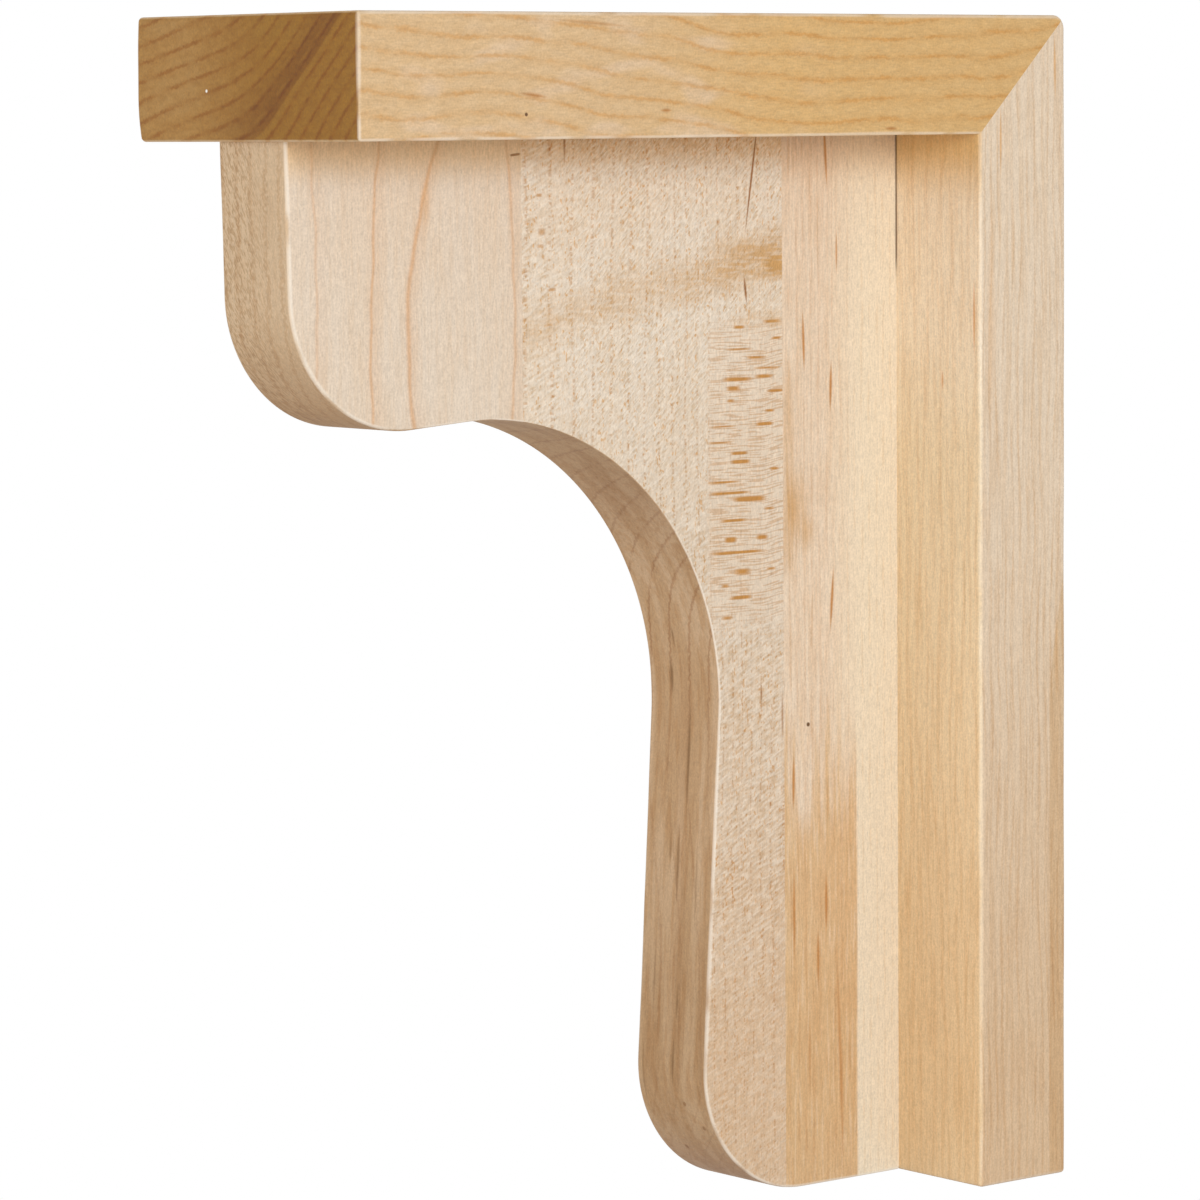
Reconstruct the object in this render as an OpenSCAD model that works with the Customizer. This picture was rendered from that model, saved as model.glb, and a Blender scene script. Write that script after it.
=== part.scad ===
// Corbel bracket of solid wood: a shelf board and a wall board, mitred together,
// with a narrower web between them that is edge-glued from three vertical strips.
// +Z is up, the wall is the plane y = 0 and the shelf runs out towards -Y.
// The origin is the middle of the face that lies against the wall.

/* [Overall] */
// Width of the two boards, across the bracket
width = 76.2; // [50:0.1:120]
// How far the shelf board stands out from the wall
depth = 190.5; // [158:0.1:229]
// Height of the bracket on the wall
height = 254; // [208:0.1:320]

/* [Boards] */
// Thickness of the shelf board and of the wall board
board_t = 25.4; // [16:0.1:32]
// Radius of the eased arrises of the boards
ease_r = 1; // [0.5:0.1:3]
// Radius of the outer corner over the mitre, at the wall
heel_r = 3; // [1:0.1:6]

/* [Web] */
// Thickness of the web
web_t = 23; // [12:0.1:40]
// How far the front of the web sits behind the end of the shelf board
web_setback = 1.5; // [0.5:0.1:10]

/* [Nose] */
// Depth of the nose under the shelf board
nose_drop = 58.7; // [45:0.1:72]
// Radius of the rounded nose
nose_r = 28; // [20:0.1:34]
// How far the front of the nose leans back by the time its curve starts
nose_lean = 0.6; // [0.2:0.1:3]

/* [Cove] */
// Run from the lowest point of the nose back to the crown of the cove
cove_run = 20.7; // [19:0.1:30]
// Rise from the lowest point of the nose to the crown of the cove
cove_rise = 1.3; // [0.5:0.1:1.5]

/* [Foot] */
// Distance from the wall to the front of the foot
foot_depth = 81.5; // [65:0.1:98]
// How far the foot swells forward of the narrowest part of the leg
foot_swell = 4.7; // [1:0.1:6]
// Radius of the rounded foot
foot_r = 28; // [18:0.1:36]

/* [Glue-up] */
// Width of the front strip of the web
nose_strip_w = 59.5; // [40:0.1:72]
// Width of the rear strip of the web
rear_strip_w = 33.1; // [20:0.1:45]

/* [Hidden] */
$fn = 96;

// Heights of the top, the underside and the underside of the shelf board
top = height / 2;
bottom = -height / 2;
shelf_under = top - board_t;

// Front of the shelf board, front face of the wall board and front of the web
front = -depth;
leg_back = -board_t;
web_front = front + web_setback;

// Glued joints between the strips of the web
front_joint = web_front + nose_strip_w;
rear_joint = leg_back - rear_strip_w;

// Lowest point of the nose, and the narrowest part of the leg
nose_low = shelf_under - nose_drop;
waist = foot_swell - foot_depth;

// Centres of the three arcs of the web's outline, as [y, z]
nose_c = [web_front + nose_lean + nose_r, nose_low + nose_r];
foot_c = [foot_r - foot_depth, bottom + foot_r];
cove_y = nose_c[0] + cove_run;
cove_r = waist - cove_y;
cove_c = [cove_y, nose_low + cove_rise - cove_r];

// Straight line that touches a circle on each of its two sides: its two end points.
// A radius of 0 makes that end a plain point. side picks one of the two such lines.
function line_angle(a, b) = atan2(b[1] - a[1], b[0] - a[0]);
function crossing_line(a, a_r, b, b_r, side) =
    let (turn = line_angle(a, b) + side * acos((a_r + b_r) / norm(b - a)))
    let (out = [cos(turn), sin(turn)])
    [a + a_r * out, b - b_r * out];

// Each line is laid this far inside the arcs that it joins, so that it crosses them cleanly
seam = 0.002;
nose_front = crossing_line([web_front, shelf_under], 0, nose_c, nose_r - seam, 1);
nose_to_cove = crossing_line(nose_c, nose_r - seam, cove_c, cove_r - seam, -1);
cove_to_foot = crossing_line(cove_c, cove_r - seam, foot_c, foot_r - seam, 1);

// Turns an outline in [y, z] into a slab centred across the bracket
module across(thickness) {
    rotate([90, 0, 90]) linear_extrude(height = thickness, center = true) children();
}

// Turns an outline in [x, z] into a bar that runs past both ends of the shelf
module front_to_back() {
    rotate([90, 0, 0]) linear_extrude(height = 3 * depth, center = true) children();
}

// Turns an outline in [x, y] into a column that runs past the top and the bottom
module upright() {
    linear_extrude(height = 2 * height, center = true) children();
}

// Rectangle from one corner to the opposite one, with every corner rounded
module eased_rectangle(low, high, r) {
    size = high - low;
    translate(low + [r, 0]) square([size[0] - 2 * r, size[1]]);
    translate(low + [0, r]) square([size[0], size[1] - 2 * r]);
    for (x = [low[0] + r, high[0] - r], y = [low[1] + r, high[1] - r])
        translate([x, y]) circle(r = r);
}

// Limits both boards at the wall and at the top, with the rounded heel where those two meet
module heel_outline() {
    eased_rectangle([front - board_t, bottom - board_t], [0, top], heel_r);
}

// Everything on the shelf's side of the mitre
module before_mitre() {
    polygon([
        [front - 1, shelf_under - 1],
        [leg_back - 1, shelf_under - 1],
        [1, top + 1],
        [front - 1, top + 1]
    ]);
}

module shelf_side() {
    intersection() {
        eased_rectangle([front, shelf_under], [board_t, top], ease_r);
        before_mitre();
        heel_outline();
    }
}

module wall_side() {
    intersection() {
        difference() {
            eased_rectangle([leg_back, bottom], [board_t, top + board_t], ease_r);
            before_mitre();
        }
        heel_outline();
    }
}

// Side outline of the whole web: polygon for its straight stretches, circles for its curves
module web_outline() {
    intersection() {
        difference() {
            union() {
                polygon([
                    [leg_back, shelf_under],
                    [web_front, shelf_under],
                    nose_front[1],
                    nose_to_cove[0],
                    nose_to_cove[1],
                    cove_to_foot[0],
                    cove_to_foot[1],
                    [foot_c[0], bottom],
                    [leg_back, bottom]
                ]);
                translate(nose_c) circle(r = nose_r);
                translate(foot_c) circle(r = foot_r);
            }
            translate(cove_c) circle(r = cove_r);
        }
        translate([web_front, bottom]) square([leg_back - web_front, shelf_under - bottom]);
    }
}

// One strip of the web, between two glued joints
module web_strip(from, to) {
    across(web_t) intersection() {
        web_outline();
        translate([from, bottom]) square([to - from, shelf_under - bottom]);
    }
}

module top_board() {
    color("burlywood") intersection() {
        across(width) shelf_side();
        front_to_back() eased_rectangle([-width / 2, shelf_under], [width / 2, top], ease_r);
        upright() eased_rectangle([-width / 2, front], [width / 2, 0], ease_r);
    }
}

module back_board() {
    color("tan") intersection() {
        across(width) wall_side();
        front_to_back() eased_rectangle([-width / 2, bottom], [width / 2, top], ease_r);
        upright() eased_rectangle([-width / 2, leg_back], [width / 2, 0], ease_r);
    }
}

module nose_strip() {
    color("bisque") web_strip(web_front, front_joint);
}

module middle_strip() {
    color("wheat") web_strip(front_joint, rear_joint);
}

module rear_strip() {
    color("navajowhite") web_strip(rear_joint, leg_back);
}

top_board();
back_board();
nose_strip();
middle_strip();
rear_strip();
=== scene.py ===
"""Corbel bracket of solid maple: two mitred boards and a web edge-glued from three strips."""

import math

import bmesh
import bpy
from bpy.props import FloatProperty, FloatVectorProperty, PointerProperty
from mathutils import Matrix, Vector, noise


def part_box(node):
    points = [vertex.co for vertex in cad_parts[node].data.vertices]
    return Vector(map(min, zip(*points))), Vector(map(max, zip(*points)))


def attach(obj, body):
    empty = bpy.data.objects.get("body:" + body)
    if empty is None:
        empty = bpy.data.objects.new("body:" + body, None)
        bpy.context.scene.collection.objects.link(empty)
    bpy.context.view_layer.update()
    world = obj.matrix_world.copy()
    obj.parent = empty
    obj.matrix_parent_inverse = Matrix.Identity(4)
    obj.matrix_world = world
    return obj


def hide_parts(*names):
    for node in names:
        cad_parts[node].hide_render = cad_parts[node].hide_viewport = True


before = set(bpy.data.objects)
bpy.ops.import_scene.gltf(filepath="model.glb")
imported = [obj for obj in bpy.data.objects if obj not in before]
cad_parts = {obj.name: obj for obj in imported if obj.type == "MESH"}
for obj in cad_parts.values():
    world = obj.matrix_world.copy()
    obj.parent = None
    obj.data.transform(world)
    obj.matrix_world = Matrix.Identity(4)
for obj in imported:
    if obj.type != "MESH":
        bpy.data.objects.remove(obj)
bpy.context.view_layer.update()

bl_info = {
    "name": "Maple corbel bracket",
    "version": (1, 0, 0),
    "blender": (4, 5, 0),
    "location": "View3D > Sidebar > Corbel",
    "description": "Builds the boards and the glued web of a maple corbel, and a plain stage",
    "category": "Add Mesh",
}

MM = 0.001
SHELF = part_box("top_board")
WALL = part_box("back_board")
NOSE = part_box("nose_strip")
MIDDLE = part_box("middle_strip")
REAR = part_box("rear_strip")


# ---------------------------------------------------------------------------
# Sizes and colours that a user would change


def distance(name, description, millimetres):
    return FloatProperty(
        name=name,
        description=description,
        default=millimetres * MM,
        unit="LENGTH",
        subtype="DISTANCE",
    )


def colour(name, description, default):
    return FloatVectorProperty(
        name=name, description=description, default=default, size=3, min=0, max=1, subtype="COLOR"
    )


def amount(name, description, default, unit="NONE"):
    return FloatProperty(name=name, description=description, default=default, min=0, unit=unit)


class CorbelSizes(bpy.types.PropertyGroup):
    """Sizes of the sawn outline and of the edges eased by sanding."""

    nose_radius: distance("Nose radius", "Radius of the rounded nose", 28)
    nose_lean: distance("Nose lean", "How far the nose's front leans back where its curve starts", 0.6)
    cove_run: distance("Cove run", "From the nose's lowest point back to the crown of the cove", 20.7)
    cove_rise: distance("Cove rise", "From the nose's lowest point up to the crown of the cove", 1.3)
    foot_depth: distance("Foot depth", "From the wall to the front of the foot", 81.5)
    foot_swell: distance("Foot swell", "How far the foot swells forward of the leg's narrow part", 4.7)
    foot_radius: distance("Foot radius", "Radius of the rounded foot", 28)
    corner_radius: distance("Corner radius", "Radius of the boards' corners, seen from the side", 0.9)
    heel_radius: distance("Heel radius", "Radius of the outer corner over the mitre", 3)
    board_ease: distance("Board easing", "Rounding of the boards' long arrises", 0.8)
    web_ease: distance("Web easing", "Rounding of the arrises of nose, leg and foot", 0.75)
    cove_ease: distance("Cove easing", "Rounding of the arrises round the cove", 0.4)


class CorbelColours(bpy.types.PropertyGroup):
    """Base colours of the bare maple, piece by piece."""

    shelf: colour("Shelf board", "Golden maple of the shelf board", (0.625, 0.43, 0.236))
    wall: colour("Wall board", "Pinkish straw of the wall board", (0.72, 0.58, 0.432))
    nose: colour("Nose strip", "Pale pinkish cream of the front strip", (0.708, 0.59, 0.467))
    middle: colour("Middle strip", "Cream of the quarter-sawn strip", (0.744, 0.636, 0.512))
    heart: colour("Rear strip heartwood", "Pinkish tan of the rear strip", (0.738, 0.582, 0.430))
    sap: colour("Rear strip sapwood", "Pale yellow edge of the rear strip", (0.795, 0.675, 0.508))
    streak: colour("Mineral streak", "Orange-brown of the mineral streaks", (0.50, 0.22, 0.06))
    dark: colour("Crack", "Dark brown of cracks and pin knots", (0.14, 0.07, 0.03))
    end: colour("End grain", "Tone that end grain is multiplied by", (0.62, 0.50, 0.36))


class StageSettings(bpy.types.PropertyGroup):
    """Light and floor of the plain studio."""

    key: amount("Key light", "Power of the soft light at the side", 5.2, "POWER")
    fill: amount("Fill light", "Power of the wide light in front", 4.7, "POWER")
    sky: amount("Sky", "Strength of the even white surroundings", 0.55)


# ---------------------------------------------------------------------------
# Outline of the web and of the boards, as points in the y-z plane

# Steps along arcs, in degrees
ARC_STEP = 2.5
COVE_STEP = 1.2
BOARD_STEP = 18
HEEL_STEP = 9
# Step along straight stretches
LINE_STEP = 4 * MM
# Number of points, each way, over which one easing turns into the next
EASE_BLEND = 4


def arc(centre, radius, start, end, step=ARC_STEP):
    """Points along an arc from one angle to another, in degrees."""
    count = max(3, round(abs(end - start) / step))
    turns = [math.radians(start + (end - start) * i / count) for i in range(count + 1)]
    return [centre + radius * Vector((math.cos(a), math.sin(a))) for a in turns]


def straight(a, b):
    """Points along a line, without its two ends."""
    count = max(2, round((b - a).length / LINE_STEP))
    return [a.lerp(b, i / count) for i in range(1, count)]


def crossing_line(a, a_radius, b, b_radius, side):
    """The two touching points of a line that has one circle on each side of it."""
    between = b - a
    turn = math.atan2(between.y, between.x) + side * math.acos((a_radius + b_radius) / between.length)
    out = Vector((math.cos(turn), math.sin(turn)))
    return a + a_radius * out, b - b_radius * out


def bearing(centre, point):
    return math.degrees(math.atan2(point.y - centre.y, point.x - centre.x))


def web_edge(sizes):
    """The sawn edge of the web, from the front of the shelf down to the foot of the wall board.

    Each entry is a point and how far its arrises are rounded."""
    shelf_under, bottom = NOSE[1].z, REAR[0].z
    start = Vector((NOSE[0].y, shelf_under))
    nose_radius = sizes.nose_radius
    nose = Vector((start.x + sizes.nose_lean + nose_radius, NOSE[0].z + nose_radius))
    foot = Vector((sizes.foot_radius - sizes.foot_depth, bottom + sizes.foot_radius))
    cove_y = nose.x + sizes.cove_run
    cove_radius = sizes.foot_swell - sizes.foot_depth - cove_y
    cove = Vector((cove_y, NOSE[0].z + sizes.cove_rise - cove_radius))
    _, nose_in = crossing_line(start, 0, nose, nose_radius, 1)
    nose_out, cove_in = crossing_line(nose, nose_radius, cove, cove_radius, -1)
    cove_out, foot_in = crossing_line(cove, cove_radius, foot, sizes.foot_radius, 1)
    heel = Vector((REAR[1].y, bottom))
    low = Vector((foot.x, bottom))
    nose_arc = arc(nose, nose_radius, bearing(nose, nose_in) % 360, bearing(nose, nose_out) % 360)
    cove_arc = arc(cove, cove_radius, bearing(cove, cove_in), bearing(cove, cove_out), COVE_STEP)
    foot_arc = arc(foot, sizes.foot_radius, bearing(foot, foot_in) % 360, 270)

    stretches = [
        ([start] + straight(start, nose_in), sizes.web_ease),
        (nose_arc, sizes.web_ease),
        (straight(nose_out, cove_in), sizes.cove_ease),
        (cove_arc, sizes.cove_ease),
        (straight(cove_out, foot_in), sizes.web_ease),
        (foot_arc, sizes.web_ease),
        (straight(low, heel) + [heel], sizes.web_ease),
    ]
    points = [(p, ease) for stretch, ease in stretches for p in stretch]
    eases = [ease for _, ease in points]
    spans = [eases[max(0, i - EASE_BLEND) : i + EASE_BLEND + 1] for i in range(len(eases))]
    return [(p, sum(span) / len(span)) for (p, _), span in zip(points, spans)]


def part_of_edge(edge, low, high):
    """The stretch of the web's edge between two glued joints, cut cleanly at each."""

    def cut(a, b, y):
        share = (y - a[0].x) / (b[0].x - a[0].x)
        return a[0].lerp(b[0], share), a[1] + (b[1] - a[1]) * share

    first = 0
    last = len(edge) - 1
    if low > edge[0][0].x:
        first = max(i for i in range(len(edge) - 1) if edge[i][0].x < low <= edge[i + 1][0].x)
    if high < edge[-1][0].x:
        last = max(i for i in range(len(edge) - 1) if edge[i][0].x < high <= edge[i + 1][0].x)
    kept = edge[first + 1 : last + 1] if first else edge[: last + 1]
    if first:
        kept = [cut(edge[first], edge[first + 1], low)] + kept
    if last < len(edge) - 1:
        kept = kept + [cut(edge[last], edge[last + 1], high)]
    return kept


# ---------------------------------------------------------------------------
# Meshes

# Faces round an arris, across a sawn edge, and over a crowned height
ARRIS_TURNS = 5
FLAT_PARTS = 6
CROWN_CUTS = 5
# How near the far side a crowned point lies
SKIN = 2 * MM
# How much hand sanding varies an arris, and over what length
HAND_VARIES = 0.3
HAND_LENGTH = 22 * MM
# How far the shelf board's far side is rounded off below and above, and over what height
SHELF_CROWN = (1.2 * MM, 0.5 * MM, 9 * MM)


def crown(body, low_x, low_z, high_z, under, over, reach):
    """Rounds the far side of a board towards its bottom and top, more so away from the wall."""
    for k in range(1, CROWN_CUTS + 1):
        for z in (low_z + reach * k / CROWN_CUTS, high_z - reach * k / CROWN_CUTS):
            geom = body.verts[:] + body.edges[:] + body.faces[:]
            bmesh.ops.bisect_plane(body, geom=geom, plane_co=(0, 0, z), plane_no=(0, 0, 1), dist=1e-7)
    for vertex in body.verts:
        if vertex.co.x > low_x + SKIN:
            continue
        away = vertex.co.y / SHELF[0].y
        for across, depth in ((under, vertex.co.z - low_z), (over, high_z - vertex.co.z)):
            short = max(0.0, 1 - depth / reach)
            vertex.co.x += across * away * short**2


def slab(name, path, low_x, high_x, corners, end_planes, seed, crowned=None):
    """A flat piece whose outline is a sawn, eased path closed by flat glued faces.

    path holds (point, easing); corners are the sharp outline points that close it; end_planes
    are the in-plane directions of the flat faces at the path's start and end. crowned holds
    how far the far side is rounded off at its bottom and top, and over what height."""
    quarter = [math.pi / 2 * k / ARRIS_TURNS for k in range(ARRIS_TURNS + 1)]
    points = [p for p, _ in path]
    rows = []
    arris = []
    length = 0.0
    for i, (point, ease) in enumerate(path):
        before, after = points[max(0, i - 1)], points[min(len(points) - 1, i + 1)]
        along = (after - before).normalized()
        inward = Vector((-along.y, along.x))
        if i in (0, len(points) - 1):
            plane = end_planes[0 if i == 0 else 1].normalized()
            inward = plane / plane.dot(inward)
        if i:
            length += (point - points[i - 1]).length
        hand = 1 + HAND_VARIES * noise.noise(Vector((length / HAND_LENGTH, seed, 0.5)))
        round_off = ease * hand
        section = []
        for a in quarter:
            across, inset = round_off * (1 - math.cos(a)), round_off * (1 - math.sin(a))
            section.append((high_x - across, inset, math.sin(2 * a)))
        inner_high, inner_low = high_x - round_off, low_x + round_off
        for k in range(1, FLAT_PARTS):
            section.append((inner_high + (inner_low - inner_high) * k / FLAT_PARTS, 0.0, 0.0))
        for a in quarter:
            across, inset = round_off * (1 - math.sin(a)), round_off * (1 - math.cos(a))
            section.append((low_x + across, inset, math.sin(2 * a)))
        rows.append([(x, *(point + inward * inset)) for x, inset, _ in section])
        arris.append([wear_and_highlight for _, _, wear_and_highlight in section])

    width = len(rows[0])
    vertices = [v for row in rows for v in row]
    wear_and_highlight = [w for row in arris for w in row]

    def at(i, k):
        """Number of the vertex at place k of row i."""
        return i * width + k

    faces = [
        (at(i, k), at(i, k + 1), at(i + 1, k + 1), at(i + 1, k))
        for i in range(len(rows) - 1)
        for k in range(width - 1)
    ]
    smooth = [True] * len(faces)
    near_side = [at(i, 0) for i in range(len(rows))]
    far_side = [at(i, width - 1) for i in range(len(rows))]
    last_row = [at(len(rows) - 1, k) for k in range(width)]
    first_row = [at(0, k) for k in range(width)]
    closing = last_row
    for corner in corners:
        base = len(vertices)
        vertices += [(high_x, *corner), (low_x, *corner)]
        wear_and_highlight += [0.0, 0.0]
        near_side.append(base)
        far_side.append(base + 1)
        faces.append((*closing[::-1], base, base + 1))
        closing = [base, base + 1]
    if corners:
        faces.append((*closing[::-1], *first_row))
    else:
        faces += [(last_row[k + 1], last_row[k], first_row[k], first_row[k + 1]) for k in range(width - 1)]
    faces.append(tuple(near_side))
    faces.append(tuple(far_side[::-1]))
    smooth += [False] * (len(faces) - len(smooth))

    mesh = bpy.data.meshes.new(name)
    mesh.from_pydata(vertices, [], faces)
    mesh.polygons.foreach_set("use_smooth", smooth)
    # Weight across each arris, for the pale arrises: paler wood from sanding and painted highlight
    mesh.attributes.new("arris", "FLOAT", "POINT").data.foreach_set("value", wear_and_highlight)
    body = bmesh.new()
    body.from_mesh(mesh)
    bmesh.ops.recalc_face_normals(body, faces=body.faces)
    if crowned:
        heights = [point.y for point in points]
        crown(body, low_x, min(heights), max(heights), *crowned)
        for face in body.faces:
            face.smooth = face.smooth or face.normal.x < -0.9
    body.to_mesh(mesh)
    body.free()
    piece = bpy.data.objects.new(name, mesh)
    bpy.context.scene.collection.objects.link(piece)
    piece.modifiers.new("Face weighted shading", "WEIGHTED_NORMAL").keep_sharp = True
    return piece


def finish_piece(piece, node, material):
    """Gives a piece its wood, and lets it stand for its CAD node."""
    piece.data.materials.append(material)
    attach(piece, "root")
    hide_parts(node)


def board_path(sizes, along_shelf):
    """Side outline of the shelf board, or of the wall board, from one end of the mitre to the other."""
    thick = -WALL[0].y
    r, heel = sizes.corner_radius, sizes.heel_radius
    top, under, bottom, front = SHELF[1].z, SHELF[0].z, WALL[0].z, SHELF[0].y
    inner = Vector((-thick, under))
    heel_centre = Vector((-heel, top - heel))
    if along_shelf:
        outer = arc(heel_centre, heel, 45, 90, HEEL_STEP)
        high = arc(Vector((front + r, top - r)), r, 90, 180, BOARD_STEP)
        low = arc(Vector((front + r, under + r)), r, 180, 270, BOARD_STEP)
        path = outer + straight(outer[-1], high[0]) + high + straight(high[-1], low[0])
        path += low + straight(low[-1], inner) + [inner]
    else:
        fore = arc(Vector((r - thick, bottom + r)), r, 180, 270, BOARD_STEP)
        back = arc(Vector((-r, bottom + r)), r, -90, 0, BOARD_STEP)
        outer = arc(heel_centre, heel, 0, 45, HEEL_STEP)
        path = [inner] + straight(inner, fore[0]) + fore + straight(fore[-1], back[0])
        path += back + straight(back[-1], outer[0]) + outer
    return [(p, sizes.board_ease) for p in path]


# ---------------------------------------------------------------------------
# Shader building

# Specular level of bare, sanded wood
GLOSS = 0.35
# Depth of the pores and fibres
RELIEF_DEPTH = 0.05 * MM
# Colour of the pale arrises and pale curl strokes: partly paler wood, partly painted highlight
SANDED_AND_HIGHLIGHT = (0.95, 0.88, 0.77)


class Wire:
    """An output socket of a material, on which plain arithmetic adds Math nodes."""

    def __init__(self, wood, socket):
        self.wood, self.socket = wood, socket

    def math(self, operation, *others, clamp=False):
        settings = {"operation": operation, "use_clamp": clamp}
        return self.wood.node("ShaderNodeMath", settings, [self, *others])

    def __add__(self, other):
        return self.math("ADD", other)

    def __sub__(self, other):
        return self.math("SUBTRACT", other)

    def __rsub__(self, other):
        return self.wood.node("ShaderNodeMath", {"operation": "SUBTRACT"}, [other, self])

    def __mul__(self, other):
        return self.math("MULTIPLY", other)

    def __truediv__(self, other):
        return self.math("DIVIDE", other)

    def __pow__(self, other):
        return self.math("POWER", other)

    def __abs__(self):
        return self.math("ABSOLUTE")

    __radd__ = __add__
    __rmul__ = __mul__

    def vector(self, operation, *others):
        return self.wood.node("ShaderNodeVectorMath", {"operation": operation}, [self, *others])

    def dot(self, other):
        settings = {"operation": "DOT_PRODUCT"}
        return self.wood.node("ShaderNodeVectorMath", settings, [self, other], "Value")

    def length(self):
        return self.wood.node("ShaderNodeVectorMath", {"operation": "LENGTH"}, [self], "Value")

    def clamped(self):
        return self.math("MULTIPLY", 1, clamp=True)

    def largest(self, other):
        return self.math("MAXIMUM", other)

    def rise(self, low, high):
        """0 below low and 1 above high, with a soft step between."""
        settings = {"interpolation_type": "SMOOTHSTEP"}
        values = {"Value": self, "From Min": low, "From Max": high}
        return self.wood.node("ShaderNodeMapRange", settings, values)

    def hump(self, half_width):
        """1 where the value is 0, half at half_width and nothing from twice that."""
        return abs(self).rise(2 * half_width, 0)


class Wood:
    """One material. Its positions are in millimetres from the middle of the wall face.

    drop is the height over the top of the shelf, and so below 0."""

    def __init__(self, name):
        self.material = bpy.data.materials.new(name)
        self.material.use_nodes = True
        self.tree = self.material.node_tree
        self.tree.nodes.clear()
        place = self.node("ShaderNodeTexCoord", output="Object")
        self.place = self.node("ShaderNodeVectorMath", {"operation": "SCALE"}, {0: place, "Scale": 1 / MM})
        self.x, self.y, self.z = self.split(self.place)
        self.drop = self.z - SHELF[1].z / MM
        facing = self.node("ShaderNodeNewGeometry", output="Normal")
        self.nx, self.ny, self.nz = (abs(part) for part in self.split(facing))
        self.arris = self.node("ShaderNodeAttribute", {"attribute_name": "arris"}, output="Fac")

    def node(self, kind, settings=None, values=(), output=0):
        """Adds a node: its settings first, then the values or links of its sockets."""
        made = self.tree.nodes.new(kind)
        for key, value in (settings or {}).items():
            setattr(made, key, value)
        for key, value in (values.items() if isinstance(values, dict) else enumerate(values)):
            if isinstance(value, Wire):
                self.tree.links.new(value.socket, made.inputs[key])
            else:
                made.inputs[key].default_value = value
        return Wire(self, made.outputs[output]) if made.outputs else made

    def split(self, place):
        return [self.node("ShaderNodeSeparateXYZ", {}, [place], axis) for axis in "XYZ"]

    def at(self, x, y, z):
        return self.node("ShaderNodeCombineXYZ", {}, [x, y, z])

    def cloud(self, grain, detail=2.0, rough=0.5, shift=0.0, place=None):
        """Noise from 0 to 1 whose features are grain = (x, y, z) millimetres long."""
        stretch = tuple(1 / size for size in grain)
        scaled = self.node(
            "ShaderNodeVectorMath",
            {"operation": "MULTIPLY_ADD"},
            [place or self.place, stretch, (shift, shift * 1.7, shift * 0.6)],
        )
        values = {"Vector": scaled, "Scale": 1.0, "Detail": detail, "Roughness": rough}
        return self.node("ShaderNodeTexNoise", {}, values)

    def mix(self, factor, a, b, blend="MIX"):
        """Colour a turning into colour b."""
        made = self.tree.nodes.new("ShaderNodeMix")
        made.data_type, made.blend_type = "RGBA", blend
        for key, value in (("Factor_Float", factor), ("A_Color", a), ("B_Color", b)):
            socket = next(i for i in made.inputs if i.identifier == key)
            if isinstance(value, Wire):
                self.tree.links.new(value.socket, socket)
            else:
                socket.default_value = value if key == "Factor_Float" else (*value, 1)
        return Wire(self, next(o for o in made.outputs if o.identifier == "Result_Color"))

    def stain(self, share, base, tone):
        """A colour of which a share is multiplied by a tone."""
        return self.mix(share, base, tone, "MULTIPLY")

    def shaded(self, base, share):
        """A colour made darker or lighter by a varying share."""
        return self.node("ShaderNodeVectorMath", {"operation": "SCALE"}, {0: base, "Scale": share})

    def finish(self, base, relief, depth, roughness):
        """Closes the material: depth is what a relief of 1 measures, in metres."""
        bump = self.node("ShaderNodeBump", {}, {"Strength": 1.0, "Distance": depth, "Height": relief})
        values = {"Base Color": base, "Roughness": roughness, "Normal": bump, "Specular IOR Level": GLOSS}
        shader = self.node("ShaderNodeBsdfPrincipled", {}, values)
        self.node("ShaderNodeOutputMaterial", {}, {"Surface": shader})
        return self.material


def times(rgb, share):
    """A colour made darker or lighter, in plain numbers."""
    shares = share if hasattr(share, "__len__") else (share,) * 3
    return tuple(min(1.0, c * s) for c, s in zip(rgb, shares))


def ring_lines(rings, width=0.13, fuzz=0.0):
    """A soft line at each whole ring number, width being a share of the ring."""
    if fuzz:
        rings = rings + (rings.wood.cloud((0.9, 0.9, 0.9), 0, 0.5, 14.0) - 0.5) * fuzz
    return rings.math("PINGPONG", 0.5).rise(width, 0.1 * width)


def marks(across, along, rows):
    """The pointed streaks of one face: centre, lean, start, end, half width and strength, in mm."""
    place = across.wood.at(across, along, 1)
    total = 0
    for centre, lean, start, end, half_width, strength in rows:
        middle, half_long = (start + end) / 2, (end - start) / 2
        wide = 1.9 * half_width
        off = place.dot((1 / wide, -lean / wide, (lean * middle - centre) / wide))
        far = place.dot((0, 1 / half_long, -middle / half_long))
        gone = far.math("MULTIPLY_ADD", far, abs(off))
        total = gone.math("MULTIPLY_ADD", -1.5 * strength, 1.5 * strength).largest(total)
    return total.math("MINIMUM", 0.95)


def dashes(across, along, rows):
    """Short bars with blunt ends: middle across, middle along, their half sizes, and strength."""
    place = across.wood.at(across, along, 0)
    total = 0
    for middle, centre, half_thick, half_long, strength in rows:
        wide, long = 1.25 * half_thick, 1.25 * half_long
        inside = place.vector("MULTIPLY_ADD", (1 / wide, 1 / long, 0), (-middle / wide, -centre / long, 0))
        gone = inside.vector("MULTIPLY", inside).length()
        total = gone.math("MULTIPLY_ADD", -1.6 * strength, 1.6 * strength).largest(total)
    return total.math("MINIMUM", 0.85)


def spot(across, along, radius):
    """A round spot where both values are 0."""
    return (across**2 + along**2).rise(2 * radius**2, 0.4 * radius**2)


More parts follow.
